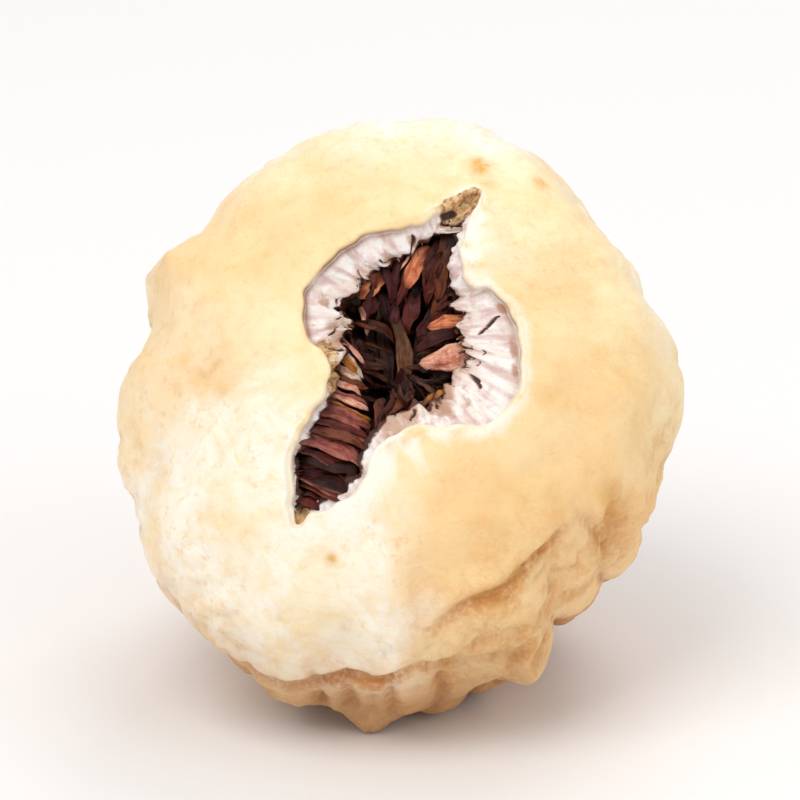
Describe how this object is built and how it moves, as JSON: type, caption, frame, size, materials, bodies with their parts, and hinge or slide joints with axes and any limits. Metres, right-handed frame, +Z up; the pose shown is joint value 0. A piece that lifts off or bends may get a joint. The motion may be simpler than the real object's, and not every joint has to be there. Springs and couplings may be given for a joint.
{
  "type": "dried fig",
  "caption": "Whole dried fig lying on its side, pale skin shrunk into ribs up to its stalk, its eye torn open in a ragged split.",
  "frame": {"origin": "on the surface that the fruit lies on, under the middle of its box", "axes": "+Z up; the split eye faces -Y and up, the stalk points to +Y and down; +X is to the right, looking at the eye"},
  "size_m": [0.0314, 0.0342, 0.0314],
  "materials": {
    "skin": "matte, faintly waxy, pale cream to tan",
    "pulp": "matte, fibrous, white rim to maroon inside"
  },
  "bodies": {
    "root": {"fig": "skin"}
  },
  "joints": []
}
